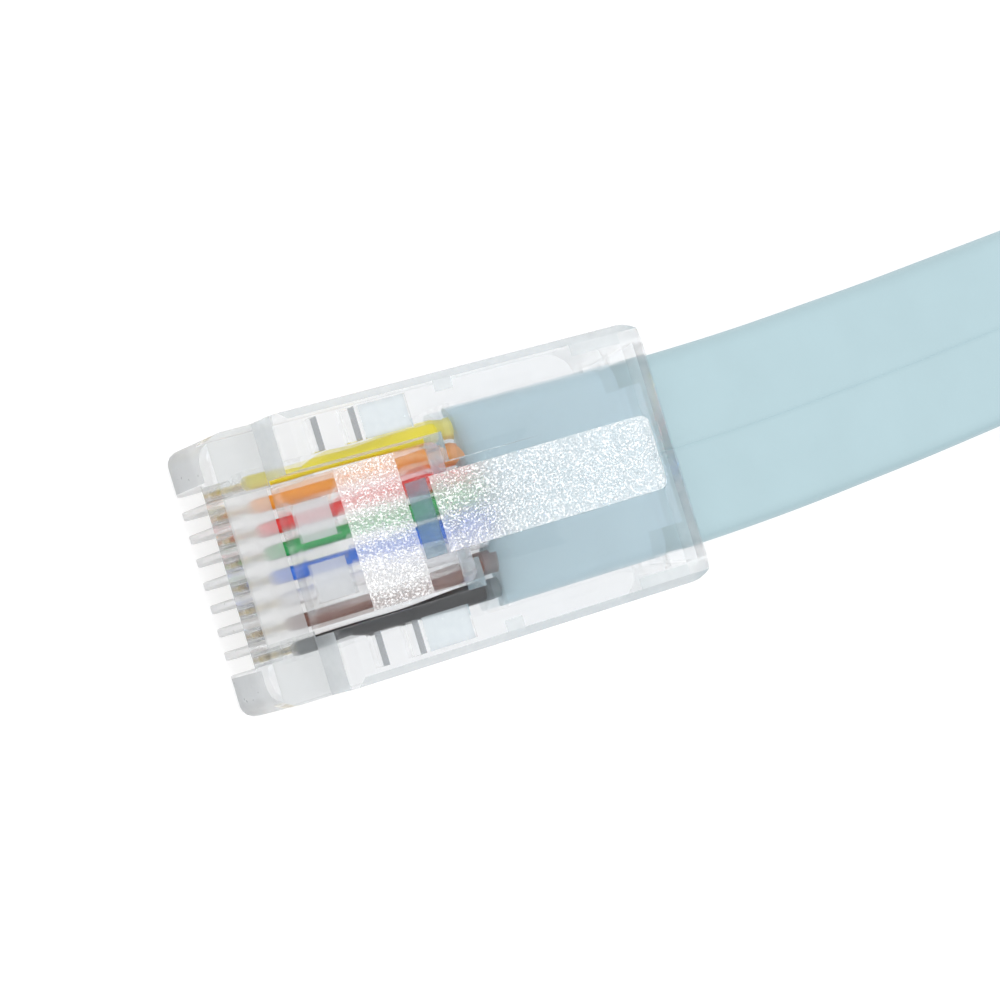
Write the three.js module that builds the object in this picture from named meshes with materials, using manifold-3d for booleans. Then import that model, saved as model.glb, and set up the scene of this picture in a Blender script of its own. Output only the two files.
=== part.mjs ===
// Flat console cable with a clear eight-way modular plug on each end, in millimetres, +Z up.
// The near plug lies on its contact side with its nose towards -X, its cable leaving towards +X and its latch on top.
// Past the stretch of cable near the plug the cable turns on edge and is wound into a coil,
// and the far plug lies on its side in the coil's hole.
// Inside a plug, s is the distance back from the nose, y runs across it and z runs up from the contact side.
import * as THREE from "three";
import { mergeVertices } from "three/addons/utils/BufferGeometryUtils.js";
import Module from "manifold-3d";

const wasm = await Module();
wasm.setup();

// Plug housing
const plugLength = 20.8;
const plugWidth = 11.68;
const plugHeight = 6.6;
const noseHeight = 4.1;
const noseFaceHeight = 3.45; // the front face leans back above this
const noseLean = 0.35;
const shoulderAt = 2.45; // where the low nose steps up to the full height
const shoulderFaceTop = 5.9;
const shoulderLean = 0.45;
const cornerRadius = 1.0;
const rimChamfer = 0.25;
const ribFoot = 0.6; // rounding of the front lower edge

// Contacts, and the slots that they stand in
const ways = 8;
const pitch = 1.02;
const slotWidth = 0.62;
const slotTop = 2.95; // height of the slots in the front face
const slotDepth = 1.35; // how far back the full slot goes
const bladePocketEnd = 6.2;
const bladeThickness = 0.34;
const bladeClearance = 0.03;
const bladeFront = 1.4;
const bladeBack = 5.9;
const bladeFoot = 0.45;
const bladeShoulder = 1.95;
const bladeToWire = 0.06;

// Conductors and their chamber
const wireRadius = 0.45;
const cableCentre = 2.9; // height of the cable's middle over the contact side
const wireClearance = 0.05;
const wireFront = 1.8;
const chamberFront = 1.7;
const jacketStop = 11.9; // where the stripped jacket ends inside the plug

// Flat jacket and its mouth
const jacketWidth = 8.8;
const jacketThickness = 2.4;
const jacketClearance = 0.15;
const endGap = 0.3;
const mouthStart = 19.3;
const mouthGrow = 0.42;

// Strain relief pressed in from the contact side
const reliefStart = 12.6;
const reliefEnd = 16.6;
const reliefHalf = 3.4;
const reliefDepth = 0.95;

// Hollows in the latch side
const latchHalf = 3.03;
const latchSideGap = 0.32;
const tabHalf = 1.625;
const pocketEnd = 9.6;
const channelHalf = 2.1;
const channelEnd = 14.5;
const grooves = [[3.85, 4.15], [5.35, 5.95]]; // cross grooves beside the latch, from and to
const grooveIn = 3.85;
const grooveOut = 5.3;
const grooveFloor = 5.1;

// Latch: a wide plate rising from the nose, and a raised tab behind it
const latchRoot = 2.25;
const latchRootLow = 4.5;
const latchRootThick = 0.75;
const latchRise = 0.316; // mm up for each mm back
const latchShoulder = 8.9; // where the jack holds it
const latchShoulderLow = 6.15;
const latchCorner = 0.45;
const windowFrom = 2.6;
const windowTo = 4.15;
const windowInner = 0.45;
const windowOuter = 2.1;
const windowDepth = 0.3;
const tabFrom = 7.05;
const tabTopFrom = 7.45;
const tabHeight = 8.0;
const tabRise = 0.172;
const tabEnd = 17.75;
const tabThick = 0.95;
const tabCorner = 0.4;

// Cable: the coil's middle, its turns, and the tie
const coilX = 77.6;
const coilY = -48.7;
const coilRadius = 51.5; // outermost turn
const coilPitch = 3.15;
const coilTurns = 5;
const tieThickness = 0.6;
const tieWidth = 3.6;
const coilFloor = tieThickness + 0.15;

// The cable's middle line in the world frame, x, y, z, and how far the flat jacket has rolled towards standing on edge, in degrees.
const leadPoints = [
  [jacketStop + endGap - plugLength / 2, 0, cableCentre, 0], [6, 0, cableCentre, 0], [plugLength / 2, 0, cableCentre, 0], [14, 0.05, 2.9, 0], [18, 0.2, 2.9, 0], [22, 0.45, 2.9, 0],
  [26, 0.72, 2.9, 0], [30, 1.05, 2.9, 0], [34, 1.38, 2.9, 0], [37.5, 1.68, 2.9, 0], [41, 1.97, 3.15, 14], [44.5, 2.24, 3.65, 33],
  [48, 2.46, 4.35, 52], [51.5, 2.63, 4.85, 69], [55, 2.74, 5.1, 82], [58.5, 2.79, 5.15, 89], [60.9, 2.8, 5.15, 90],
];
const farRear = [79.6, -48.95]; // where the cable meets the far plug's rear
const tailPoints = [
  [98.03, -23.6, 5.15, 90], [99.47, -28.78, 5.2, 90], [99.31, -34.16, 5.3, 90], [97.57, -39.25, 5.45, 90], [94.41, -43.6, 5.6, 90],
  [90.1, -46.82, 5.74, 90], [85.03, -48.62, 5.83, 90], [81.6, -48.95, 5.84, 90], [79.6, -48.95, 5.84, 90], [75, -48.95, 5.84, 90],
  [farRear[0] - plugLength + jacketStop + endGap, -48.95, 5.84, 90],
];

const black = new THREE.Color(0x16181c);
const clear = new THREE.MeshStandardMaterial({ color: 0xe3ecef, roughness: 0.08, metalness: 0 });
const gold = new THREE.MeshStandardMaterial({ color: 0xd3a53a, roughness: 0.25, metalness: 1 });
const jacketPaint = new THREE.MeshStandardMaterial({ color: 0xb4d2dc, roughness: 0.45, metalness: 0 });
const tiePaint = new THREE.MeshStandardMaterial({ color: 0xe9ecea, roughness: 0.5, metalness: 0 });
const wireColours = [
  ["yellow", 0xf0dc1e],
  ["orange", 0xf08214],
  ["red", 0xe01e28],
  ["green", 0x1ea050],
  ["blue", 0x2864d2],
  ["white", 0xf0f0f0],
  ["brown", 0x64321e],
  ["black", black.getHex()],
];

const root = new THREE.Group();

function toSolid(geometry) {
  const bare = geometry.clone();
  for (const name of Object.keys(bare.attributes)) if (name !== "position") bare.deleteAttribute(name);
  const merged = mergeVertices(bare, 1e-4);
  return new wasm.Manifold(
    new wasm.Mesh({
      numProp: 3,
      vertProperties: new Float32Array(merged.attributes.position.array),
      triVerts: new Uint32Array(merged.index.array),
    }),
  );
}

function toGeometry(solid) {
  const mesh = solid.getMesh();
  const indexed = new THREE.BufferGeometry()
    .setAttribute("position", new THREE.BufferAttribute(new Float32Array(mesh.vertProperties), 3))
    .setIndex(new THREE.BufferAttribute(new Uint32Array(mesh.triVerts), 1));
  const flat = indexed.toNonIndexed();
  flat.computeVertexNormals();
  return flat;
}

// A side view (s, z) given a thickness across the plug from y0 to y1.
function side(shape, y0, y1, segments = 6) {
  return toSolid(
    new THREE.ExtrudeGeometry(shape, { depth: y1 - y0, bevelEnabled: false, curveSegments: segments })
      .rotateX(Math.PI / 2)
      .translate(0, y1, 0),
  );
}

// A plan (s, y) given a height from z0 to z1.
function plan(shape, z0, z1, segments = 6) {
  return toSolid(
    new THREE.ExtrudeGeometry(shape, { depth: z1 - z0, bevelEnabled: false, curveSegments: segments }).translate(0, 0, z0),
  );
}

function outline(...points) {
  return new THREE.Shape(points.map(([a, b]) => new THREE.Vector2(a, b)));
}

function box(s0, s1, y0, y1, z0, z1) {
  return toSolid(
    new THREE.BoxGeometry(s1 - s0, y1 - y0, z1 - z0).translate((s0 + s1) / 2, (y0 + y1) / 2, (z0 + z1) / 2),
  );
}

function roundedRectangle(a0, b0, a1, b1, r) {
  const shape = new THREE.Shape();
  shape.moveTo(a0 + r, b0);
  shape.lineTo(a1 - r, b0);
  shape.absarc(a1 - r, b0 + r, r, -Math.PI / 2, 0);
  shape.lineTo(a1, b1 - r);
  shape.absarc(a1 - r, b1 - r, r, 0, Math.PI / 2);
  shape.lineTo(a0 + r, b1);
  shape.absarc(a0 + r, b1 - r, r, Math.PI / 2, Math.PI);
  shape.lineTo(a0, b0 + r);
  shape.absarc(a0 + r, b0 + r, r, Math.PI, 1.5 * Math.PI);
  return shape;
}

// A block that widens along s from one rectangle (y0..y1, z0..z1) to another.
function funnel(s0, half0, low0, high0, s1, half1, low1, high1) {
  const block = new THREE.BoxGeometry(s1 - s0, 2, 2).translate((s0 + s1) / 2, 0, 0);
  const at = block.attributes.position;
  for (let i = 0; i < at.count; i++) {
    const end = at.getX(i) > (s0 + s1) / 2;
    const half = end ? half1 : half0;
    const low = end ? low1 : low0;
    const high = end ? high1 : high0;
    at.setXYZ(i, at.getX(i), at.getY(i) * half, at.getZ(i) > 0 ? high : low);
  }
  return toSolid(block);
}

const wayY = (k) => ((ways - 1) / 2 - k) * pitch;
const wireTop = cableCentre + wireRadius + wireClearance;
const wireFloor = cableCentre - wireRadius - wireClearance;
const cavityHalf = jacketWidth / 2 + jacketClearance;
const cavityLow = cableCentre - jacketThickness / 2 - jacketClearance;
const cavityHigh = cableCentre + jacketThickness / 2 + jacketClearance;

function housing() {
  const half = plugWidth / 2;
  const profile = new THREE.Shape();
  profile.moveTo(ribFoot, 0);
  profile.lineTo(plugLength - rimChamfer, 0);
  profile.lineTo(plugLength, rimChamfer);
  profile.lineTo(plugLength, plugHeight - rimChamfer);
  profile.lineTo(plugLength - rimChamfer, plugHeight);
  profile.lineTo(shoulderAt + shoulderLean, plugHeight);
  profile.lineTo(shoulderAt, shoulderFaceTop);
  profile.lineTo(shoulderAt, noseHeight);
  profile.lineTo(noseLean, noseHeight);
  profile.lineTo(0, noseFaceHeight);
  profile.lineTo(0, ribFoot);
  profile.absarc(ribFoot, ribFoot, ribFoot, Math.PI, 1.5 * Math.PI);
  let body = side(profile, -half, half, 5).intersect(
    plan(roundedRectangle(0, -half, plugLength, half, cornerRadius), -1, plugHeight + 1, 5),
  );

  const cuts = [];
  for (let k = 0; k < ways; k++) {
    const y = wayY(k);
    cuts.push(box(-1, slotDepth, y - slotWidth / 2, y + slotWidth / 2, -1, slotTop));
    cuts.push(box(slotDepth - 0.01, bladePocketEnd, y - slotWidth / 2, y + slotWidth / 2, -1, bladeFoot + 0.6));
    const inner = bladeThickness / 2 + bladeClearance;
    cuts.push(box(slotDepth - 0.01, bladePocketEnd, y - inner, y + inner, bladeFoot, wireFloor + 0.01));
  }
  const chamberHalf = wayY(0) + wireRadius + wireClearance;
  cuts.push(box(chamberFront, jacketStop + 0.01, -chamberHalf, chamberHalf, wireFloor, wireTop));
  cuts.push(box(jacketStop, plugLength + 1, -cavityHalf, cavityHalf, cavityLow, cavityHigh));
  const growth = ((plugLength + 1 - mouthStart) / (plugLength - mouthStart)) * mouthGrow;
  cuts.push(
    funnel(
      mouthStart, cavityHalf - 0.01, cavityLow + 0.01, cavityHigh - 0.01,
      plugLength + 1, cavityHalf + growth, cavityLow - growth, cavityHigh + growth,
    ),
  );
  cuts.push(
    side(
      outline([reliefStart, -1], [reliefEnd, -1], [reliefEnd, 0.3], [reliefStart + 1.2, reliefDepth], [reliefStart, reliefDepth]),
      -reliefHalf,
      reliefHalf,
    ),
  );
  // The hollow under the latch, and the channel under its tab.
  const pocketHalf = latchHalf + latchSideGap;
  cuts.push(
    side(
      outline(
        [shoulderAt - 0.05, noseHeight],
        [pocketEnd - 0.6, noseHeight + 0.35],
        [pocketEnd, noseHeight + 0.9],
        [pocketEnd, plugHeight + 1],
        [shoulderAt - 0.05, plugHeight + 1],
      ),
      -pocketHalf,
      pocketHalf,
    ),
  );
  cuts.push(
    side(
      outline(
        [pocketEnd - 0.1, plugHeight - 1],
        [channelEnd - 2.5, plugHeight - 0.9],
        [channelEnd, plugHeight],
        [channelEnd, plugHeight + 1],
        [pocketEnd - 0.1, plugHeight + 1],
      ),
      -channelHalf,
      channelHalf,
    ),
  );
  // Two cross grooves beside the latch on each side.
  for (const [from, to] of grooves)
    for (const sign of [-1, 1]) {
      const y = [sign * grooveIn, sign * grooveOut].sort((a, b) => a - b);
      cuts.push(box(from, to, y[0], y[1], grooveFloor, plugHeight + 1));
    }
  for (const cut of cuts) body = body.subtract(cut);
  return body;
}

function latch() {
  const above = plugHeight * 2;
  const wideTop = (s) => latchRootLow + latchRootThick + (s - latchRoot) * latchRise;
  let wide = side(
    outline(
      [latchRoot, latchRootLow], [windowTo, latchRootLow + latchRootThick * 0.6], [latchShoulder - latchCorner, latchShoulderLow - 0.15],
      [latchShoulder, latchShoulderLow], [latchShoulder, wideTop(latchShoulder)], [latchRoot, wideTop(latchRoot)],
    ),
    -latchHalf,
    latchHalf,
  ).intersect(plan(roundedRectangle(0, -latchHalf, latchShoulder, latchHalf, latchCorner), 0, above));
  for (const sign of [-1, 1]) {
    const y = [sign * windowInner, sign * windowOuter].sort((a, b) => a - b);
    wide = wide.subtract(
      side(
        outline([windowFrom, wideTop(windowFrom) - windowDepth], [windowTo, wideTop(windowTo) - windowDepth], [windowTo, above], [windowFrom, above]),
        y[0],
        y[1],
      ),
    );
  }
  const tabTop = (s) => tabHeight + (s - tabTopFrom) * tabRise;
  const under = wideTop(tabFrom) - 0.15;
  const tab = side(
    outline(
      [tabFrom, under], [tabTopFrom, tabTop(tabTopFrom)], [tabEnd - 0.25, tabTop(tabEnd - 0.25)], [tabEnd, tabTop(tabEnd) - 0.25],
      [tabEnd, tabTop(tabEnd) - tabThick + 0.15], [tabEnd - 0.25, tabTop(tabEnd) - tabThick], [latchShoulder + 0.6, tabTop(latchShoulder + 0.6) - tabThick],
      [latchShoulder - 0.2, wideTop(latchShoulder) - 0.45], [latchShoulder - 0.4, under],
    ),
    -tabHalf,
    tabHalf,
  ).intersect(plan(roundedRectangle(latchRoot, -tabHalf, tabEnd, tabHalf, tabCorner), 0, above));
  return wide.add(tab);
}

// A blade: a flat bar with two teeth under its conductor.
function blade(y) {
  const tip = cableCentre - wireRadius - bladeToWire;
  return side(
    outline(
      [bladeFront, bladeFoot + 0.25], [bladeFront + 0.25, bladeFoot], [bladeBack - 0.25, bladeFoot], [bladeBack, bladeFoot + 0.25],
      [bladeBack, bladeShoulder], [bladeBack - 0.5, bladeShoulder], [bladeBack - 0.9, tip], [bladeBack - 1.3, bladeShoulder],
      [bladeFront + 1.8, bladeShoulder], [bladeFront + 1.4, tip], [bladeFront + 1.0, bladeShoulder], [bladeFront, bladeShoulder],
    ),
    y - bladeThickness / 2,
    y + bladeThickness / 2,
  );
}

function wire(y) {
  return toSolid(
    new THREE.CylinderGeometry(wireRadius, wireRadius, jacketStop - 0.15 - wireFront, 12)
      .rotateZ(Math.PI / 2)
      .translate((wireFront + jacketStop - 0.15) / 2, y, cableCentre),
  );
}

function add(name, solid, material, matrix) {
  const mesh = new THREE.Mesh(toGeometry(solid), material);
  mesh.name = name;
  mesh.applyMatrix4(matrix);
  root.add(mesh);
}

function plug(prefix, matrix, rolled) {
  add(prefix + "plug_housing", housing(), clear, matrix);
  add(prefix + "latch", latch(), clear, matrix);
  for (let k = 0; k < ways; k++) {
    add(prefix + "contact_" + (k + 1), blade(wayY(k)), gold, matrix);
    const [name, colour] = wireColours[rolled ? ways - 1 - k : k];
    add(
      prefix + "wire_" + name,
      wire(wayY(k)),
      new THREE.MeshStandardMaterial({ color: colour, roughness: 0.4, metalness: 0 }),
      matrix,
    );
  }
}

const nearMatrix = new THREE.Matrix4().makeTranslation(-plugLength / 2, 0, 0);

const coilInner = coilRadius - coilPitch * coilTurns;
const ringOuter = coilRadius + jacketThickness / 2 + 0.1;
const ringInner = coilInner - jacketThickness / 2 - 0.25;

// The jacket's section swept along a list of points. Its thickness points up where roll is 0 and to the right of the way along where it is 90.
function ribbon(points, steps) {
  const w = jacketWidth / 2;
  const h = jacketThickness / 2;
  const e = 0.7;
  const section = outline([w, 0.35], [w - 0.35, h - 0.2], [w - e, h], [-w + e, h], [-w + 0.35, h - 0.2], [-w, 0.35],
    [-w, -0.35], [-w + 0.35, -h + 0.2], [-w + e, -h], [w - e, -h], [w - 0.35, -h + 0.2], [w, -0.35]);
  const swept = new THREE.ExtrudeGeometry(section, { depth: 1, steps, bevelEnabled: false });
  const line = new THREE.CatmullRomCurve3(points.map(([x, y, z]) => new THREE.Vector3(x, y, z)), false, "centripetal");
  const up = new THREE.Vector3(0, 0, 1);
  const at = swept.attributes.position;
  for (let i = 0; i < at.count; i++) {
    const t = at.getZ(i);
    const u = t * (points.length - 1);
    const k = Math.min(points.length - 2, Math.floor(u));
    const roll = THREE.MathUtils.degToRad(points[k][3] + (points[k + 1][3] - points[k][3]) * (u - k));
    const p = line.getPoint(t);
    const forward = line.getTangent(t).setZ(0).normalize();
    const left = new THREE.Vector3(-forward.y, forward.x, 0);
    const across = left.clone().multiplyScalar(Math.cos(roll)).addScaledVector(up, Math.sin(roll));
    const out = up.clone().multiplyScalar(Math.cos(roll)).addScaledVector(left, -Math.sin(roll));
    p.addScaledVector(across, at.getX(i)).addScaledVector(out, at.getY(i));
    at.setXYZ(i, p.x, p.y, p.z);
  }
  return toSolid(swept);
}

// The far plug's nose points to -X, its latch side to +Y, and it stands on one of its long sides.
const farMatrix = new THREE.Matrix4().makeBasis(new THREE.Vector3(1, 0, 0), new THREE.Vector3(0, 0, -1), new THREE.Vector3(0, 1, 0));
farMatrix.setPosition(farRear[0] - plugLength, farRear[1] - cableCentre, plugWidth / 2);

plug("", nearMatrix, false);
plug("far_", farMatrix, true);

const still = new THREE.Matrix4();
add("cable_lead", ribbon(leadPoints, 32), jacketPaint, still);
add("cable_tail", ribbon(tailPoints, 20), jacketPaint, still);

const ring = new THREE.LatheGeometry(
  [
    [ringInner, coilFloor],
    [ringOuter, coilFloor],
    [ringOuter, coilFloor + jacketWidth],
    [ringInner, coilFloor + jacketWidth],
    [ringInner, coilFloor],
  ].map(([r, z]) => new THREE.Vector2(r, z)),
  72,
)
  .rotateX(Math.PI / 2)
  .translate(coilX, coilY, 0);
add("cable_coil", toSolid(ring), jacketPaint, still);

// The tie: a flat strap round all the turns, with its head outside.
const tieGap = 0.15;
const tieIn = coilX + ringInner - tieGap;
const tieOut = coilX + ringOuter + tieGap;
const strap = roundedRectangle(tieIn - tieThickness, 0, tieOut + tieThickness, coilFloor + jacketWidth + tieGap + tieThickness, 0.8);
strap.holes.push(roundedRectangle(tieIn, tieThickness, tieOut, coilFloor + jacketWidth + tieGap, 0.2));
const tie = side(strap, coilY - tieWidth / 2, coilY + tieWidth / 2, 3).add(
  box(tieOut - 4.5, tieOut, coilY - tieWidth / 2 - 0.8, coilY + tieWidth / 2 + 0.8,
    coilFloor + jacketWidth + tieGap + tieThickness - 0.2, coilFloor + jacketWidth + tieGap + tieThickness + 2.2),
);
add("cable_tie", tie, tiePaint, still);

export default root;
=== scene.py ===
"""Looks of a flat console cable with a clear modular plug on each end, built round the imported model.

Inside a plug, s is the distance back from the nose, y runs across it and z runs up from the contact side, in millimetres.
"""
import math

import bmesh
import bpy
from mathutils import Matrix, Vector, noise


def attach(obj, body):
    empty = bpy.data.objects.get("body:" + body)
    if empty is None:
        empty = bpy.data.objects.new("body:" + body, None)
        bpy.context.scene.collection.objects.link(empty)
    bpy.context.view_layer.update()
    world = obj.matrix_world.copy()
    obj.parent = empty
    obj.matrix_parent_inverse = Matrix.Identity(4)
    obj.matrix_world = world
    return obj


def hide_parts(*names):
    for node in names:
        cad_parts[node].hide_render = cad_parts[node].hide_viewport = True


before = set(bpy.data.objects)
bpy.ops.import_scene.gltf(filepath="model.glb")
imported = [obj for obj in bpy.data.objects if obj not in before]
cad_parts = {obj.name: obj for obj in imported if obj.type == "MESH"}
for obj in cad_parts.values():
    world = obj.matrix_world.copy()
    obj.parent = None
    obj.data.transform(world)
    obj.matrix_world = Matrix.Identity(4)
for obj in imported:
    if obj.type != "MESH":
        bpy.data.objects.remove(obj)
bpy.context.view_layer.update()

MM = 0.001
PLUG_LENGTH = 20.8
PLUG_HALF = 5.84
PLUG_HEIGHT = 6.6
PITCH = 1.02
WAYS = 8
CABLE_CENTRE = 2.9
JACKET_WIDTH = 8.8
JACKET_THICKNESS = 2.4
JACKET_STOP = 11.9
END_GAP = 0.3

# The jacket's cut ends: how far their middle and, further still, their edges reach past the line, how flat they are
# squeezed, how far behind the line's first point and before its last one the full section is, and the length in a plug
END_REACH = 0.25
END_HOLLOW = 0.7
END_FLAT = 0.45
FULL_AFTER, FULL_BEFORE = 0.45, 0.1
IN_PLUG = 8.7

COLOURS = ("yellow", "orange", "red", "green", "blue", "white", "brown", "black")

NEAR = Matrix.Translation((-PLUG_LENGTH / 2, 0, 0))
FAR_REAR = (79.6, -48.95)
FAR = Matrix((
    (1, 0, 0, FAR_REAR[0] - PLUG_LENGTH),
    (0, 0, 1, FAR_REAR[1] - CABLE_CENTRE),
    (0, -1, 0, PLUG_HALF),
    (0, 0, 0, 1),
))


# Camera

def make_camera():
    data = bpy.data.cameras.new("camera")
    data.sensor_width = 36.0
    data.lens = 108.0
    data.clip_start = 0.005
    camera = bpy.data.objects.new("camera", data)
    right = Vector((0.82552, -0.2897, 0.48434))
    up = Vector((0.23867, 0.95689, 0.16554))
    back = Vector((-0.51142, -0.02106, 0.85907))
    place = Matrix((right, up, back)).transposed().to_4x4()
    place.translation = (-0.06353, -0.00275, 0.11498)
    camera.matrix_world = place
    bpy.context.scene.collection.objects.link(camera)
    bpy.context.scene.camera = camera


make_camera()


# The cable's middle line, x, y, z in millimetres, and its roll in degrees

LEAD = [
    (JACKET_STOP + END_GAP - PLUG_LENGTH / 2, 0, 2.9, 0),
    (6, 0, 2.9, 0), (10.4, 0, 2.9, 0), (14, 0.05, 2.9, 0), (18, 0.2, 2.9, 0),
    (22, 0.45, 2.9, 0), (26, 0.72, 2.9, 0), (30, 1.05, 2.9, 0), (34, 1.38, 2.9, 0), (37.5, 1.68, 2.9, 0),
    (41, 1.97, 3.15, 14), (44.5, 2.24, 3.65, 33), (48, 2.46, 4.35, 52), (51.5, 2.63, 4.85, 69), (55, 2.74, 5.1, 82),
    (58.5, 2.79, 5.15, 89),
    (60.9, 2.8, 5.15, 90),
]
LEAD_END_Y = 2.8
COIL_X, COIL_Y, COIL_Z = 77.6, -48.7, 5.15
COIL_RADIUS, COIL_PITCH, COIL_TURNS = 51.5, 3.15, 5
STEPS_A_TURN = 60
RUN_IN = (66.5, 72)
TAIL = [
    (77.6, -12.95, 5.15, 90), (81.6, -12.95, 5.15, 90), (86.05, -13.51, 5.15, 90), (90.23, -15.15, 5.15, 90),
    (93.87, -17.78, 5.15, 90), (96.75, -21.22, 5.15, 90), (98.03, -23.6, 5.15, 90), (99.47, -28.78, 5.2, 90),
    (99.31, -34.16, 5.3, 90), (97.57, -39.25, 5.45, 90), (94.41, -43.6, 5.6, 90), (90.1, -46.82, 5.74, 90),
    (85.03, -48.62, 5.83, 90), (81.6, -48.95, 5.84, 90), (79.6, -48.95, 5.84, 90),
    (75, -48.95, 5.84, 90), (FAR_REAR[0] - PLUG_LENGTH + JACKET_STOP + END_GAP, -48.95, 5.84, 90),
]


def smooth_line(points, each):
    """A centripetal Catmull-Rom line through points of any number of values; the first three set the spacing."""
    def gap(a, b):
        return max(1e-6, math.dist(a[:3], b[:3]) ** 0.5)

    def beyond(a, b):
        return tuple(2 * x - y for x, y in zip(a, b))

    full = [beyond(points[0], points[1]), *points, beyond(points[-1], points[-2])]
    line = []
    for k in range(1, len(full) - 2):
        p0, p1, p2, p3 = full[k - 1:k + 3]
        d0, d1, d2 = gap(p0, p1), gap(p1, p2), gap(p2, p3)
        for j in range(each):
            t = j / each
            values = []
            for a, b, c, d in zip(p0, p1, p2, p3):
                t1 = ((b - a) / d0 - (c - a) / (d0 + d1) + (c - b) / d1) * d1
                t2 = ((c - b) / d1 - (d - b) / (d1 + d2) + (d - c) / d2) * d1
                bend, twist = -3 * b + 3 * c - 2 * t1 - t2, 2 * b - 2 * c + t1 + t2
                values.append(b + t1 * t + bend * t * t + twist * t ** 3)
            line.append(tuple(values))
    line.append(tuple(points[-1]))
    return line


def cable_line():
    line = smooth_line(LEAD, 4)
    for x in RUN_IN:
        line.append((x, LEAD_END_Y, COIL_Z, 90))
    steps = COIL_TURNS * STEPS_A_TURN
    for i in range(steps):
        turns = i / STEPS_A_TURN
        angle = math.pi / 2 - 2 * math.pi * turns
        r = COIL_RADIUS - COIL_PITCH * turns
        line.append((COIL_X + r * math.cos(angle), COIL_Y + r * math.sin(angle), COIL_Z, 90))
    return line + smooth_line(TAIL, 4)


CABLE_LINE = cable_line()


# Mesh helpers

SHARP = 24


def loose_object(name, bm):
    """An object of this bmesh, which is used up."""
    mesh = bpy.data.meshes.new(name)
    bm.to_mesh(mesh)
    bm.free()
    thing = bpy.data.objects.new(name, mesh)
    bpy.context.scene.collection.objects.link(thing)
    return thing


def new_object(name, bm, body, materials):
    thing = loose_object(name, bm)
    for material in materials:
        thing.data.materials.append(material)
    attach(thing, body)
    return thing


def sweep(rings):
    """A tube through rings of points, in metres, with flat ends."""
    bm = bmesh.new()
    made = [[bm.verts.new(p) for p in ring] for ring in rings]
    n = len(rings[0])
    uv = bm.loops.layers.uv.new("cable")
    for i in range(len(made) - 1):
        for j in range(n):
            face = bm.faces.new((made[i][j], made[i][(j + 1) % n], made[i + 1][(j + 1) % n], made[i + 1][j]))
            for loop, (u, v) in zip(face.loops, ((i, j), (i, j + 1), (i + 1, j + 1), (i + 1, j))):
                loop[uv].uv = (u, v / n)
    bm.faces.new(list(reversed(made[0])))
    bm.faces.new(made[-1])
    bmesh.ops.recalc_face_normals(bm, faces=bm.faces)
    return bm


def sharp_edges(bm):
    return [e for e in bm.edges if len(e.link_faces) == 2 and e.calc_face_angle(0) > math.radians(SHARP)]


def bevelled(bm, width, segments):
    bmesh.ops.bevel(
        bm, geom=sharp_edges(bm), offset=width, offset_type="OFFSET", segments=segments, profile=0.5, affect="EDGES",
        clamp_overlap=True,
    )


def edge_softened(mesh, width, segments):
    """A welded copy of a CAD mesh with its sharp edges rounded; the width is in millimetres."""
    bm = bmesh.new()
    bm.from_mesh(mesh)
    bmesh.ops.remove_doubles(bm, verts=bm.verts, dist=2e-6)
    bmesh.ops.dissolve_limit(bm, angle_limit=math.radians(1), verts=bm.verts, edges=bm.edges)
    bevelled(bm, width * MM, segments)
    return bm


def shade_by_angle(thing, angle):
    mesh = thing.data
    mesh.polygons.foreach_set("use_smooth", [True] * len(mesh.polygons))
    mesh.set_sharp_from_angle(angle=math.radians(angle))


def prism(points, low, high, upright):
    """A closed block: an outline in (s, z) given a thickness across y, or, upright, one in (s, y) given a height in z."""
    bm = bmesh.new()
    ends = []
    for level in (low, high):
        ends.append([bm.verts.new((a, b, level) if upright else (a, level, b)) for a, b in points])
    n = len(points)
    for j in range(n):
        bm.faces.new((ends[0][j], ends[0][(j + 1) % n], ends[1][(j + 1) % n], ends[1][j]))
    bm.faces.new(ends[0])
    bm.faces.new(list(reversed(ends[1])))
    bmesh.ops.recalc_face_normals(bm, faces=bm.faces)
    return bm


def split(bm, at, normal):
    """Cuts the faces along a plane, so that each side can have a material of its own."""
    bmesh.ops.bisect_plane(bm, geom=[*bm.verts, *bm.edges, *bm.faces], dist=1e-5, plane_co=at, plane_no=normal)


def block(s0, s1, y0, y1, z0, z1):
    return prism([(s0, z0), (s1, z0), (s1, z1), (s0, z1)], y0, y1, False)


def arc(centre, radius, start, stop, steps):
    return [
        (centre[0] + radius * math.cos(math.radians(a)), centre[1] + radius * math.sin(math.radians(a)))
        for a in (start + (stop - start) * k / steps for k in range(steps + 1))
    ]


def rounded_plan(s0, s1, half, r, steps=5):
    return [
        *arc((s1 - r, -half + r), r, -90, 0, steps), *arc((s1 - r, half - r), r, 0, 90, steps),
        *arc((s0 + r, half - r), r, 90, 180, steps), *arc((s0 + r, -half + r), r, 180, 270, steps),
    ]


def carved(base, steps):
    """The base with each (operation, block) in steps applied in turn; all are bmeshes in millimetres and are used up."""
    body = loose_object("carving", base)
    tools = []
    for operation, bm in steps:
        tool = loose_object("tool", bm)
        tools.append(tool)
        modifier = body.modifiers.new("cut", "BOOLEAN")
        modifier.operation = operation
        modifier.solver = "EXACT"
        modifier.object = tool
    bpy.context.view_layer.update()
    result = bmesh.new()
    result.from_object(body, bpy.context.evaluated_depsgraph_get())
    for thing in (body, *tools):
        mesh = thing.data
        bpy.data.objects.remove(thing)
        bpy.data.meshes.remove(mesh)
    return result


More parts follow.
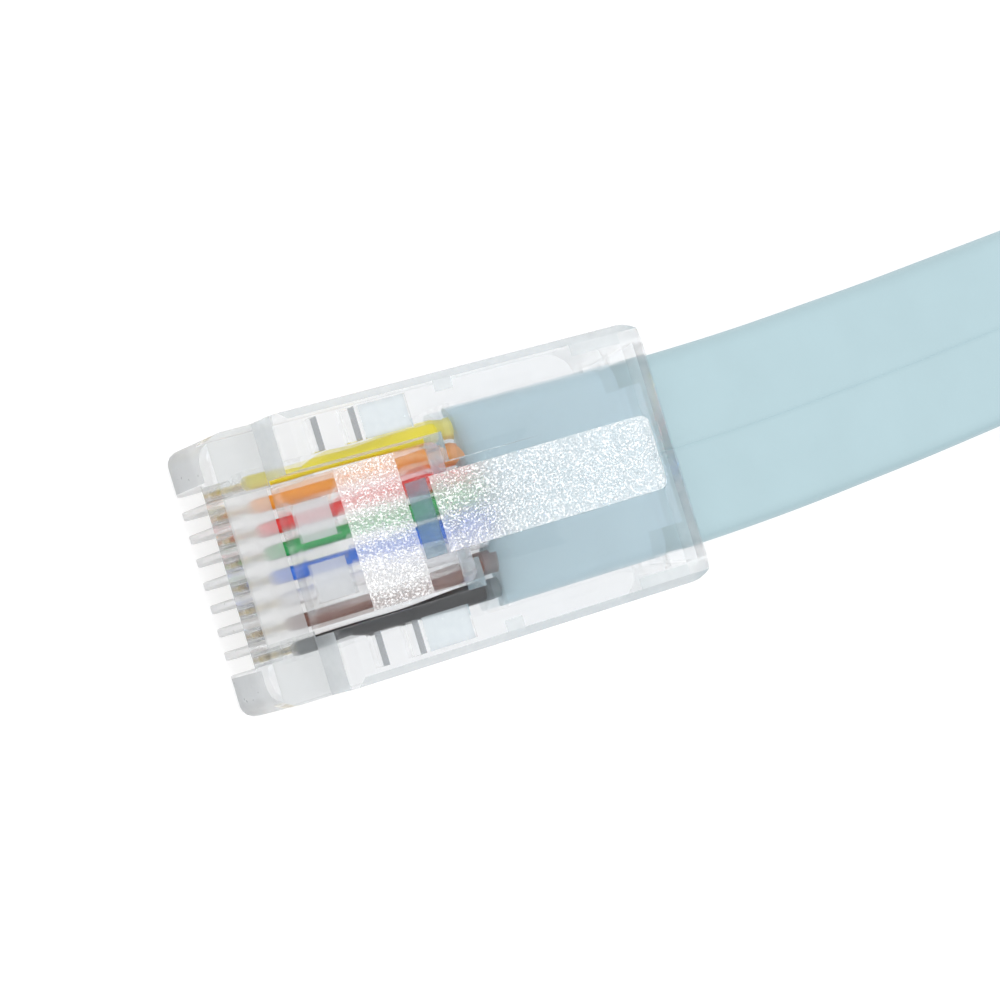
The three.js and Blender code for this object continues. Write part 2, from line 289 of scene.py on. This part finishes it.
def softened(bm, width):
    """Rounds the sharp edges of a bmesh in millimetres."""
    bmesh.ops.remove_doubles(bm, verts=bm.verts, dist=0.002)
    bmesh.ops.dissolve_limit(bm, angle_limit=math.radians(0.5), verts=bm.verts, edges=bm.edges)
    bevelled(bm, width, 2)
    bmesh.ops.remove_doubles(bm, verts=bm.verts, dist=0.001)
    bmesh.ops.dissolve_degenerate(bm, dist=0.0005, edges=bm.edges)
    bmesh.ops.recalc_face_normals(bm, faces=bm.faces)
    return bm


def placed(bm, place):
    """A copy of a plug-space bmesh in the world, in metres."""
    copy = bm.copy()
    bmesh.ops.transform(copy, matrix=Matrix.Scale(MM, 4) @ place, verts=copy.verts)
    return copy


# Materials

class Nodes:
    """A material's node tree with short ways to add nodes."""

    def __init__(self, name):
        self.material = bpy.data.materials.new(name)
        self.material.use_nodes = True
        self.tree = self.material.node_tree
        self.shader = self.tree.nodes["Principled BSDF"]

    def add(self, kind, **values):
        node = self.tree.nodes.new(kind)
        for key, value in values.items():
            if hasattr(node, key):
                setattr(node, key, value)
            else:
                node.inputs[key.replace("_", " ")].default_value = value
        return node

    def link(self, a, b):
        self.tree.links.new(a, b)

    def set(self, **values):
        for key, value in values.items():
            self.shader.inputs[key.replace("_", " ")].default_value = value

    def place(self, stretch=(1, 1, 1)):
        """Object coordinates in millimetres."""
        where = self.add("ShaderNodeTexCoord")
        scale = self.add("ShaderNodeMapping")
        scale.inputs["Scale"].default_value = [1000 * k for k in stretch]
        self.link(where.outputs["Object"], scale.inputs["Vector"])
        return scale.outputs["Vector"]

    def noise(self, vector, scale, detail=2.0, roughness=0.5):
        node = self.add("ShaderNodeTexNoise", Scale=scale, Detail=detail, Roughness=roughness)
        self.link(vector, node.inputs["Vector"])
        return node.outputs["Fac"]

    def ramp(self, value, stops):
        node = self.add("ShaderNodeValToRGB")
        ramp = node.color_ramp
        while len(ramp.elements) < len(stops):
            ramp.elements.new(0.5)
        for element, (at, colour) in zip(ramp.elements, stops):
            element.position = at
            element.color = (*colour, 1) if len(colour) == 3 else colour
        self.link(value, node.inputs["Fac"])
        return node.outputs["Color"]

    def between(self, value, low, high, source=(0, 1)):
        node = self.add("ShaderNodeMapRange")
        for key, number in zip(("From Min", "From Max", "To Min", "To Max"), (*source, low, high)):
            node.inputs[key].default_value = number
        self.link(value, node.inputs["Value"])
        return node.outputs["Result"]

    def bump(self, height, distance, strength=1.0, under=None):
        node = self.add("ShaderNodeBump", Strength=strength, Distance=distance)
        self.link(height, node.inputs["Height"])
        if under is not None:
            self.link(under, node.inputs["Normal"])
        return node.outputs["Normal"]

    def out(self, socket, value):
        self.link(value, self.shader.inputs[socket])


def clear_plastic(name, base, alpha):
    m = Nodes(name)
    m.set(Base_Color=(*base, 1), IOR=1.55, Transmission_Weight=1.0, Alpha=alpha)
    at = m.place()
    m.out("Roughness", m.between(m.noise(at, 1.7, 3), 0.0, 0.05, (0.35, 0.75)))
    m.out("Normal", m.bump(m.noise(at, 0.9, 1), 0.00002, 0.35))
    return m.material


def hazy_shaded_plastic(name, base, roughness, transmission, alpha):
    """The same plastic made cloudy; a grey base colour here is painted shade, and the slope's blue-green one is the
    painted colour of the wires seen in it.
    """
    m = Nodes(name)
    m.set(IOR=1.45, Transmission_Weight=transmission, Alpha=alpha)
    at = m.place()
    m.out("Base Color", m.ramp(m.noise(at, 2.6, 3), [(0.3, [c * 0.94 for c in base]), (0.7, base)]))
    m.out("Roughness", m.between(m.noise(at, 4, 2), roughness * 0.8, roughness * 1.2))
    m.out("Normal", m.bump(m.noise(at, 3, 2), 0.00003, 0.4))
    return m.material


def etched_plastic():
    m = Nodes("etched_plastic")
    m.set(Base_Color=(1, 1, 1, 1), IOR=1.5, Alpha=0.86)
    at = m.place()
    grain = m.add("ShaderNodeTexVoronoi", Scale=13.5)
    m.link(at, grain.inputs["Vector"])
    speck = m.noise(at, 12.0, 2, 0.6)
    m.out("Transmission Weight", m.between(speck, 0.8, 0.0, (0.5, 0.62)))
    m.out("Roughness", m.between(m.noise(at, 6, 2), 0.22, 0.42))
    m.out("Normal", m.bump(grain.outputs["Distance"], 0.00005, 0.36))
    return m.material


def gold():
    m = Nodes("contact_gold")
    m.set(Metallic=1.0)
    at = m.place((1, 1, 4))
    m.out("Base Color", m.ramp(m.noise(at, 2.5, 3), [(0.35, (0.48, 0.36, 0.12)), (0.7, (0.70, 0.54, 0.23))]))
    m.out("Roughness", m.between(m.noise(at, 9, 2), 0.14, 0.34))
    return m.material


WIRE_PAINT = {
    "yellow": (0.95, 0.80, 0.01),
    "orange": (1.0, 0.34, 0.0),
    "red": (0.90, 0.03, 0.03),
    "green": (0.01, 0.42, 0.09),
    "blue": (0.02, 0.17, 0.80),
    "white": (0.90, 0.90, 0.92),
    "brown": (0.19, 0.065, 0.04),
    "black": (0.008, 0.009, 0.013),
}


def wire_paint(colour):
    m = Nodes("wire_" + colour)
    base = WIRE_PAINT[colour]
    at = m.place((0.25, 1, 1))
    m.out("Base Color", m.ramp(m.noise(at, 2.2, 3), [(0.3, [c * 0.84 for c in base]), (0.7, base)]))
    m.out("Roughness", m.between(m.noise(at, 5, 2), 0.28, 0.44))
    m.out("Normal", m.bump(m.noise(at, 4, 2), 0.00002, 0.3))
    return m.material


def jacket_paint(name, base):
    m = Nodes(name)
    at = m.place()
    m.out("Base Color", m.ramp(m.noise(at, 0.35, 3), [(0.3, [c * 0.965 for c in base]), (0.7, base)]))
    m.out("Roughness", m.between(m.noise(at, 1.1, 3), 0.42, 0.56))
    m.out("Normal", m.bump(m.noise(at, 1.6, 3), 0.00003, 0.35, m.bump(m.noise(at, 9, 2), 0.00001, 0.3)))
    return m.material


def tie_paint():
    m = Nodes("tie")
    at = m.place()
    m.out("Base Color", m.ramp(m.noise(at, 0.7, 3), [(0.3, (0.76, 0.79, 0.78)), (0.7, (0.82, 0.85, 0.84))]))
    m.out("Roughness", m.between(m.noise(at, 3, 2), 0.4, 0.55))
    m.out("Normal", m.bump(m.noise(at, 2.5, 2), 0.00003, 0.4))
    return m.material


# The housing's grey base colour, darker than the latch's, is painted shade standing for the shadowed floor seen through
# the plug.
CLEAR = clear_plastic("clear_plastic", base=(0.84, 0.86, 0.88), alpha=0.66)
CLEAR_LATCH = clear_plastic("clear_latch", base=(0.98, 0.985, 0.99), alpha=0.34)
CLEAR_INSIDE = clear_plastic("clear_inside", base=(0.98, 0.985, 0.99), alpha=0.18)
ETCHED = etched_plastic()
RIB_TIPS = hazy_shaded_plastic("cloudy_ribs", base=(0.90, 0.905, 0.91), roughness=0.3, transmission=0.4, alpha=0.86)
# Corner prongs: cloudy plastic whose grey base is painted shade.
CORNER = hazy_shaded_plastic("corner_cloudy_painted_shade", base=(0.52, 0.54, 0.555), roughness=0.3, transmission=0.4, alpha=0.8)
# Top and sides of the nose behind the ribs: cloudy plastic whose grey base is painted shade.
NOSE_TOP = hazy_shaded_plastic("nose_top_cloudy_painted_shade", base=(0.65, 0.66, 0.67), roughness=0.35, transmission=0.4, alpha=0.72)
NOSE_SIDE = hazy_shaded_plastic("nose_side_cloudy_painted_shade", base=(0.50, 0.53, 0.54), roughness=0.2, transmission=0.5, alpha=0.62)
# The latch's shallow windows: cloudy plastic whose grey base is painted shade.
WINDOW = hazy_shaded_plastic("window_cloudy_painted_shade", base=(0.56, 0.58, 0.60), roughness=0.4, transmission=0.25, alpha=0.82)
# The tab's front slope: its blue-green base is the painted colour of the wires seen in it, not a tint of the plastic.
SLOPE = hazy_shaded_plastic("slope_painted_wire_colour", base=(0.22, 0.36, 0.44), roughness=0.12, transmission=0.45, alpha=0.7)
# Grey bands on the nose's step, the chamfered upper edges and the top's ends: painted shade.
EDGE = hazy_shaded_plastic("edge_painted_shade", base=(0.60, 0.64, 0.66), roughness=0.2, transmission=0.4, alpha=0.8)
# Floors of the rear side pockets: a blue-grey base that is painted shade.
PANEL = hazy_shaded_plastic("panel_painted_shade", base=(0.58, 0.65, 0.69), roughness=0.25, transmission=0.4, alpha=0.8)
# The plate's rear shoulders beside the tab: a grey base that is painted shade.
SHOULDER = hazy_shaded_plastic("shoulder_painted_shade", base=(0.50, 0.55, 0.60), roughness=0.15, transmission=0.5, alpha=0.6)
# Dark grey for far walls of the side pockets and the plate's rear faces: painted shade.
SHADE = hazy_shaded_plastic("dark_painted_shade", base=(0.26, 0.29, 0.32), roughness=0.15, transmission=0.35, alpha=0.75)
SHELL_FINISHES = [CLEAR, RIB_TIPS, NOSE_TOP, EDGE, PANEL, SHADE, CLEAR_INSIDE, CORNER, NOSE_SIDE]
LEVER_FINISHES = [CLEAR_LATCH, ETCHED, WINDOW, SLOPE, SHADE, SHOULDER]
GOLD = gold()
JACKET = jacket_paint("jacket", (0.36, 0.49, 0.53))
# The same jacket painted lighter, for its length inside a plug: painted light.
JACKET_PAINTED_LIGHTER = jacket_paint("jacket_painted_lighter_in_plug", (0.50, 0.655, 0.725))
TIE = tie_paint()
WIRES = {c: wire_paint(c) for c in COLOURS}


# Cable

def jacket_section():
    """Points round the flat jacket, across and out of it, with a fine parting groove along each flat side."""
    w, h = JACKET_WIDTH / 2, JACKET_THICKNESS / 2
    upper = [
        (w, 0.3), (w - 0.05, 0.62), (w - 0.2, 0.9), (w - 0.45, 1.09), (w - 0.75, 1.17), (w - 1.2, h), (w - 2.4, h),
        (0.5, h), (0.22, h - 0.005), (0.09, h - 0.03), (0.0, h - 0.08), (-0.09, h - 0.03), (-0.22, h - 0.005), (-0.5, h),
        (-w + 2.4, h), (-w + 1.2, h), (-w + 0.75, 1.17), (-w + 0.45, 1.09), (-w + 0.2, 0.9), (-w + 0.05, 0.62), (-w, 0.3),
    ]
    return upper + [(-a, -b) for a, b in upper]


def make_cable():
    """The whole jacket in one sweep; each end is squeezed flat and cut hollow, and is painted lighter inside its plug,
    making up for the light the clear housing keeps from it.
    """
    section = jacket_section()
    rings = []
    up = Vector((0, 0, 1))
    count = len(CABLE_LINE)
    for i, (x, y, z, roll) in enumerate(CABLE_LINE):
        before, after = CABLE_LINE[max(0, i - 1)], CABLE_LINE[min(count - 1, i + 1)]
        forward = Vector((after[0] - before[0], after[1] - before[1], 0)).normalized()
        left = Vector((-forward.y, forward.x, 0))
        turn = math.radians(roll)
        across = left * math.cos(turn) + up * math.sin(turn)
        out = up * math.cos(turn) - left * math.sin(turn)
        middle = Vector((x, y, z))
        full = [middle + across * a + out * b for a, b in section]
        hollow = [END_HOLLOW * (a / (JACKET_WIDTH / 2)) ** 2 for a, _ in section]
        if 0 < i < count - 1:
            rings.append([p * MM for p in full])
            continue
        reach = -1 if i == 0 else 1
        flat = [
            (middle + across * a + out * b * END_FLAT + forward * reach * (END_REACH + h)) * MM
            for (a, b), h in zip(section, hollow)
        ]
        if reach == -1:
            rings.append(flat)
            rings.append([(p + forward * (FULL_AFTER - h)) * MM for p, h in zip(full, hollow)])
        else:
            rings.append([(p - forward * FULL_BEFORE) * MM for p in full])
            rings.append(flat)
    bm = sweep(rings)
    ends = [Vector(CABLE_LINE[i][:3]) * MM for i in (0, -1)]
    # Within IN_PLUG of each end the jacket is painted lighter, standing for light the housing keeps from it.
    for face in bm.faces:
        if min((face.calc_center_median() - end).length for end in ends) < IN_PLUG * MM:
            face.material_index = 1
    cable = new_object("cable", bm, "plugs_and_cable", [JACKET, JACKET_PAINTED_LIGHTER])
    shade_by_angle(cable, 50)
    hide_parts("cable_lead", "cable_coil", "cable_tail")
    return cable


# Plugs

def smooth_step(t):
    t = min(1.0, max(0.0, t))
    return t * t * (3 - 2 * t)


WIRE_START, WIRE_FRONT_RADIUS, WIRE_REAR_RADIUS = 1.95, 0.31, 0.44
WIDENS_AT, WIDENS_OVER = 7.0, 3.5
WIRE_STEPS, WIRE_SIDES = 26, 24


def plug_wire(colour, way, place, prefix):
    """One conductor with a smooth, slightly uneven jacket of its own."""
    y0 = way_y(way)
    start = WIRE_START + 0.2 * noise.noise((way * 1.7, 3, 1))
    stop = JACKET_STOP + 0.02 - END_HOLLOW * ((abs(y0) + WIRE_REAR_RADIUS) / (JACKET_WIDTH / 2)) ** 2
    rings = []
    for i in range(WIRE_STEPS + 1):
        s = start + (stop - start) * (i / WIRE_STEPS) ** 1.3
        r = WIRE_FRONT_RADIUS + (WIRE_REAR_RADIUS - WIRE_FRONT_RADIUS) * smooth_step((s - WIDENS_AT) / WIDENS_OVER)
        r -= 0.06 if i == 0 else 0.0
        across = 0.05 * noise.noise((s * 0.4, way * 3.1, 0))
        upward = 0.03 * noise.noise((s * 0.4, way * 3.1, 7))
        wobble = Vector((0, across, upward))
        rings.append([
            place @ (Vector((s, y0 + r * math.cos(a), CABLE_CENTRE + r * math.sin(a))) + wobble) * MM
            for a in (2 * math.pi * j / WIRE_SIDES for j in range(WIRE_SIDES))
        ])
    name = prefix + "conductor_" + colour
    thing = new_object(name, sweep(rings), "plugs_and_cable", [WIRES[colour]])
    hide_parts(prefix + "wire_" + colour)
    return thing


def way_y(way):
    return ((WAYS - 1) / 2 - way) * PITCH


PROFILE = [
    (20.55, 0), (20.8, 0.25), (20.8, 6.35), (20.55, PLUG_HEIGHT), (2.9, PLUG_HEIGHT), (2.45, 5.9), (2.45, 4.1), (0.35, 4.1),
    (0, 3.45), *arc((0.6, 0.6), 0.6, 180, 270, 5),
]
SLOT_DEPTH, SLOT_TOP, SLOT_HALF = 1.35, 2.95, 0.31
SLOT_SIDE = [(-1, 0.43), (0, 0.43), (0.035, 0.385), (0.11, 0.345), (0.3, SLOT_HALF), (SLOT_DEPTH, SLOT_HALF)]
BLADE_FROM, BLADE_TO = 1.2, 6.2
BLADE_FOOT_TOP, BLADE_TOP, BLADE_ROOM_HALF = 1.05, 2.6, 0.2
CHAMBER = (1.7, 12.2, -4.07, 4.07, 2.4, 3.4)
CAVITY_FROM, CAVITY_HALF, CAVITY_HALF_HEIGHT = 11.15, 4.55, 1.35
MOUTH_FROM, MOUTH_FLARE = 19.3, 0.42 / 1.5
RELIEF = [(12.6, -1), (16.6, -1), (16.6, 0.3), (13.8, 0.95), (12.6, 0.95)]
LATCH_POCKET = [(2.0, 4.22), (9.0, 4.45), (9.6, 5.0), (9.6, 8), (2.0, 8)]
TAB_CHANNEL = [(9.3, 5.6), (12.0, 5.7), (14.5, 6.6), (14.5, 8), (9.3, 8)]
SIDE_POCKETS = ((3.85, 4.15, 5.85), (5.35, 5.95, 6.05), (6.15, 8.45, 6.45))
SIDE_POCKET_Y, SIDE_POCKET_WIDTH = (-5.3, 3.85), 1.45
UPPER_EDGE_CUT = 0.25

# Where the housing's cloudy faces and its faces with painted shade begin and end
RIB_DEPTH, RIB_TOP, CORNER_TOP, CORNER_Y = 1.3, 2.96, 3.5, 4.02
HAZE_SHADE_FROM, HAZE_SHADE_TO, HAZE_SHADE_Y = 0.3, 2.3, 3.1
EDGE_Y, EDGE_ENDS = 5.0, ((9.9, 10.8), (16.9, 19.5))


def shell_shape():
    """The clear housing: a low slotted nose, a full-height body, and the hollows under the latch and round the cable."""
    steps = [("INTERSECT", prism(rounded_plan(0, PLUG_LENGTH, PLUG_HALF, 1.0), -1, 8, True))]

    def cut(bm):
        steps.append(("DIFFERENCE", bm))

    for way in range(WAYS):
        y = way_y(way)
        slot = [(a, y + b) for a, b in SLOT_SIDE] + [(a, y - b) for a, b in reversed(SLOT_SIDE)]
        cut(prism(slot, -1, SLOT_TOP, True))
        cut(block(BLADE_FROM, BLADE_TO, y - SLOT_HALF, y + SLOT_HALF, -1, BLADE_FOOT_TOP))
        cut(block(BLADE_FROM, BLADE_TO, y - BLADE_ROOM_HALF, y + BLADE_ROOM_HALF, 0.9, BLADE_TOP))
    cut(block(*CHAMBER))
    low, high = CABLE_CENTRE - CAVITY_HALF_HEIGHT, CABLE_CENTRE + CAVITY_HALF_HEIGHT
    cut(block(CAVITY_FROM, 22, -CAVITY_HALF, CAVITY_HALF, low, high))
    mouth = block(MOUTH_FROM, 21.8, -1, 1, -1, 1)
    for v in mouth.verts:
        grown = (v.co.x - MOUTH_FROM) * MOUTH_FLARE
        v.co.y *= CAVITY_HALF + grown
        v.co.z = CABLE_CENTRE + v.co.z * (CAVITY_HALF_HEIGHT + grown)
    cut(mouth)
    cut(prism(RELIEF, -3.4, 3.4, False))
    cut(prism(LATCH_POCKET, -3.35, 3.35, False))
    cut(prism(TAB_CHANNEL, -2.1, 2.1, False))
    for s0, s1, floor in SIDE_POCKETS:
        for y0 in SIDE_POCKET_Y:
            cut(block(s0, s1, y0, y0 + SIDE_POCKET_WIDTH, floor, 8))
    for side in (-PLUG_HALF, PLUG_HALF):
        corner = block(-1, 22, -UPPER_EDGE_CUT, UPPER_EDGE_CUT, -UPPER_EDGE_CUT, UPPER_EDGE_CUT)
        bmesh.ops.rotate(corner, verts=corner.verts, matrix=Matrix.Rotation(math.radians(45), 3, "X"))
        bmesh.ops.translate(corner, verts=corner.verts, vec=(0, side, PLUG_HEIGHT))
        cut(corner)
    bm = softened(carved(prism(PROFILE, -PLUG_HALF, PLUG_HALF, False), steps), 0.05)
    for s in (HAZE_SHADE_FROM, RIB_DEPTH, HAZE_SHADE_TO, *EDGE_ENDS[0], *EDGE_ENDS[1]):
        split(bm, (s, 0, 0), (1, 0, 0))
    for y in (-EDGE_Y, -CORNER_Y, -HAZE_SHADE_Y, HAZE_SHADE_Y, CORNER_Y, EDGE_Y):
        split(bm, (0, y, 0), (0, 1, 0))
    split(bm, (0, 0, RIB_TOP), (0, 0, 1))
    bmesh.ops.recalc_face_normals(bm, faces=bm.faces)
    for face in bm.faces:
        face.material_index = SHELL_FINISHES.index(shell_finish(face.calc_center_median(), face.normal))
    return bm


def shell_finish(middle, normal):
    """The material of a face of the housing."""
    s, y, z = middle.x, abs(middle.y), middle.z
    slot_roof = z > 2.8 and normal.z < -0.5
    # The nose's ribs are cloudy; its corner prongs are cloudy with painted shade.
    if s < RIB_DEPTH and z < RIB_TOP and not slot_roof:
        return RIB_TIPS if y < CORNER_Y else CORNER
    if s < RIB_DEPTH and z < CORNER_TOP and y > CORNER_Y:
        return CORNER
    # Faces on the nose's top: cloudy, with painted shade in their grey base.
    if HAZE_SHADE_FROM < s < HAZE_SHADE_TO and z > 3.4 and y < HAZE_SHADE_Y and normal.z > 0.3:
        return NOSE_TOP
    # Front face of the nose's step: painted shade.
    if HAZE_SHADE_TO < s < 2.6 and z > 4.1 and y > HAZE_SHADE_Y and normal.x < -0.9:
        return EDGE
    if HAZE_SHADE_FROM < s < 2.6 and z > 3.4 and y > HAZE_SHADE_Y and normal.z > 0.3:
        return NOSE_SIDE
    if s > 1.65 and 1.5 < z < 4.3 and y < 4.6:
        return CLEAR_INSIDE
    if 2.0 < s < 9.65 and 4.2 < z < 5.05 and y < 3.36 and normal.z > 0.9:
        return CLEAR_INSIDE
    # Floors of the rear side pockets: painted shade.
    if 6.1 < s < 8.5 and 6.3 < z < 6.5 and y > 3.8 and normal.z > 0.9:
        return PANEL
    # Far walls of the first two side pockets: painted shade.
    if 5.8 < z < 6.55 and 3.8 < y < 5.35 and normal.x < -0.9 and (4.1 < s < 4.2 or 5.9 < s < 6.0):
        return SHADE
    # Chamfered upper side edges and the ends of the top's side strips: painted shade.
    if s > 2.9 and z > 6.2 and y > 5.5 and 0.3 < normal.z < 0.9:
        return EDGE
    if z > 6.55 and y > EDGE_Y and any(a < s < b for a, b in EDGE_ENDS):
        return EDGE
    return CLEAR


# The latch's plate and tab, and where their etched faces and painted-shade shoulders begin and end
PLATE_FROM, PLATE_TO, PLATE_HALF, PLATE_CORNER = 2.25, 8.9, 3.03, 0.45
TAB_FROM, TAB_TO, TAB_HALF, TAB_CORNER, TAB_THICKNESS = 7.45, 17.75, 1.625, 0.55, 0.95
WINDOWS_Y, WINDOW_WIDTH, WINDOW_FROM, WINDOW_TO, WINDOW_DEPTH = (-2.1, 0.45), 1.65, 2.6, 4.15, 0.3
BAND_FROM, BAND_TO = 4.5, 7.02
TAB_ETCHED_FROM, TAB_ETCHED_TO = 7.6, 17.72
SHOULDER_FROM = 8.3


def plate_top(s):
    return 5.25 + (s - PLATE_FROM) * 0.316


def tab_top(s):
    return 8.0 + (s - TAB_FROM) * 0.172


def lever_shape():
    """The latch: a wide plate with two shallow windows, rising from the nose, and a raised tab."""
    under_plate = [(PLATE_FROM, 4.5), (4.15, 4.95), (8.45, 6.0), (PLATE_TO, 6.15)]
    over_plate = [(PLATE_TO, plate_top(PLATE_TO)), (PLATE_FROM, plate_top(PLATE_FROM))]
    plate = prism(under_plate + over_plate, -PLATE_HALF, PLATE_HALF, False)
    steps = [("INTERSECT", prism(rounded_plan(1.0, PLATE_TO, PLATE_HALF, PLATE_CORNER), 0, 12, True))]
    for y0 in WINDOWS_Y:
        window = [
            (WINDOW_FROM, plate_top(WINDOW_FROM) - WINDOW_DEPTH), (WINDOW_TO, plate_top(WINDOW_TO) - WINDOW_DEPTH),
            (WINDOW_TO, 12), (WINDOW_FROM, 12),
        ]
        steps.append(("DIFFERENCE", prism(window, y0, y0 + WINDOW_WIDTH, False)))
    root = plate_top(7.05) - 0.15
    tab = prism([
        (7.05, root), (TAB_FROM, 8.0), (17.62, tab_top(17.62)), (TAB_TO, tab_top(TAB_TO) - 0.15),
        (TAB_TO, tab_top(TAB_TO) - 0.8), (17.5, tab_top(17.5) - TAB_THICKNESS), (9.5, tab_top(9.5) - TAB_THICKNESS),
        (8.7, plate_top(PLATE_TO) - 0.45), (8.5, root),
    ], -TAB_HALF, TAB_HALF, False)
    tab = carved(tab, [("INTERSECT", prism(rounded_plan(5.0, TAB_TO, TAB_HALF, TAB_CORNER), 0, 12, True))])
    steps.append(("UNION", tab))
    bm = softened(carved(plate, steps), 0.06)
    for s in (BAND_FROM, BAND_TO, TAB_ETCHED_FROM, SHOULDER_FROM):
        split(bm, (s, 0, 0), (1, 0, 0))
    for face in bm.faces:
        face.material_index = LEVER_FINISHES.index(lever_finish(face.calc_center_median(), face.normal))
    return bm


def lever_finish(middle, normal):
    """The material of a face of the latch."""
    s, y, z = middle.x, abs(middle.y), middle.z
    on_plate = BAND_FROM < s < BAND_TO and z > plate_top(s) - 0.1
    on_tab = TAB_ETCHED_FROM < s < TAB_ETCHED_TO and z > tab_top(s) - 0.1
    in_window = 2.5 < s < 4.25 and 0.4 < y < 2.15 and plate_top(s) - 0.4 < z < plate_top(s) - 0.2
    if normal.z > 0.6 and (on_plate or on_tab):
        return ETCHED
    # Window floors: painted shade.
    if normal.z > 0.9 and in_window:
        return WINDOW
    # Front slope of the tab: painted colour of the wires seen in it.
    if normal.x < -0.8 and 6.9 < s < 7.5 and z > 6.8:
        return SLOPE
    # Rear faces of the plate beside the tab: painted shade.
    if normal.x > 0.9 and 8.8 < s < 9.0 and y > 1.6:
        return SHADE
    # Top of the plate's rear shoulders: painted shade.
    if SHOULDER_FROM < s < 9.0 and z > plate_top(s) - 0.15 and y > 1.6:
        return SHOULDER
    return CLEAR_LATCH


BLADE_FRONT, BLADE_HALF = 1.37, 0.15
WIRE_GAP = 0.06


def blade_shape(way):
    """A gold blade with two teeth under its conductor and a rounded front corner."""
    tip = CABLE_CENTRE - 0.45 - WIRE_GAP
    shoulder = 1.95
    outline = [
        *arc((BLADE_FRONT + 0.35, 0.8), 0.35, 180, 270, 5), (5.65, 0.45), (5.9, 0.7), (5.9, shoulder), (5.4, shoulder),
        (5.0, tip), (4.6, shoulder), (3.2, shoulder), (2.8, tip), (2.4, shoulder), (BLADE_FRONT, shoulder),
    ]
    return softened(prism(outline, way_y(way) - BLADE_HALF, way_y(way) + BLADE_HALF, False), 0.03)


def make_plug(prefix, place, latch_body, rolled):
    """All pieces of one plug; rolled reverses the order of the conductors."""
    made = []
    shell = new_object(prefix + "shell", placed(SHELL, place), "plugs_and_cable", SHELL_FINISHES)
    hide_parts(prefix + "plug_housing")
    lever = new_object(prefix + "lever", placed(LEVER, place), latch_body, LEVER_FINISHES)
    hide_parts(prefix + "latch")
    made += [shell, lever]
    for way in range(WAYS):
        blade = new_object(f"{prefix}blade_{way + 1}", placed(BLADES[way], place), "plugs_and_cable", [GOLD])
        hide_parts(f"{prefix}contact_{way + 1}")
        made.append(blade)
        made.append(plug_wire(COLOURS[WAYS - 1 - way] if rolled else COLOURS[way], way, place, prefix))
    for thing in made:
        shade_by_angle(thing, 32)
    return made


SHELL = shell_shape()
LEVER = lever_shape()
BLADES = [blade_shape(way) for way in range(WAYS)]
cable = make_cable()
make_plug("", NEAR, "near_latch", False)
far_pieces = make_plug("far_", FAR, "distant_latch", True)

tie = new_object(
    "coil_tie", edge_softened(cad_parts["cable_tie"].data, 0.12, 3), "plugs_and_cable", [TIE],
)
shade_by_angle(tie, 30)
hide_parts("cable_tie")


# Floor, light and colour

def make_stage():
    bm = bmesh.new()
    bmesh.ops.create_circle(bm, cap_ends=True, segments=96, radius=1.5)
    floor = loose_object("floor", bm)
    floor.location = (0.05, -0.04, -0.00002)
    m = Nodes("floor")
    m.set(Base_Color=(0.3, 0.3, 0.303, 1), Roughness=0.9, Emission_Color=(1, 1, 1, 1), Emission_Strength=0.74)
    floor.data.materials.append(m.material)

    world = bpy.data.worlds.new("world")
    bpy.context.scene.world = world
    world.use_nodes = True
    tree = world.node_tree
    background = tree.nodes["Background"]
    where = tree.nodes.new("ShaderNodeTexCoord")
    parts = tree.nodes.new("ShaderNodeSeparateXYZ")
    ramp = tree.nodes.new("ShaderNodeValToRGB")
    stops = [(0.0, 0.34), (0.3, 0.5), (0.65, 0.85), (1.0, 1.0)]
    while len(ramp.color_ramp.elements) < len(stops):
        ramp.color_ramp.elements.new(0.5)
    for element, (at, level) in zip(ramp.color_ramp.elements, stops):
        element.position = at
        element.color = (level, level, level, 1)
    tree.links.new(where.outputs["Generated"], parts.inputs["Vector"])
    tree.links.new(parts.outputs["Z"], ramp.inputs["Fac"])
    tree.links.new(ramp.outputs["Color"], background.inputs["Color"])
    background.inputs["Strength"].default_value = 1.5


def add_light(name, where, size, power):
    """A round lamp that faces the near plug."""
    data = bpy.data.lights.new(name, "AREA")
    data.shape = "DISK"
    data.size = size
    data.energy = power
    lamp = bpy.data.objects.new(name, data)
    lamp.location = where
    lamp.rotation_euler = (-Vector(where)).to_track_quat("-Z", "Y").to_euler()
    bpy.context.scene.collection.objects.link(lamp)


make_stage()
add_light("key", (-0.10, 0.35, 0.45), size=0.30, power=0.5)
add_light("fill", (0.25, -0.35, 0.35), size=0.30, power=0.3)
bpy.context.scene.view_settings.view_transform = "Standard"
bpy.context.scene.cycles.transparent_max_bounces = 24
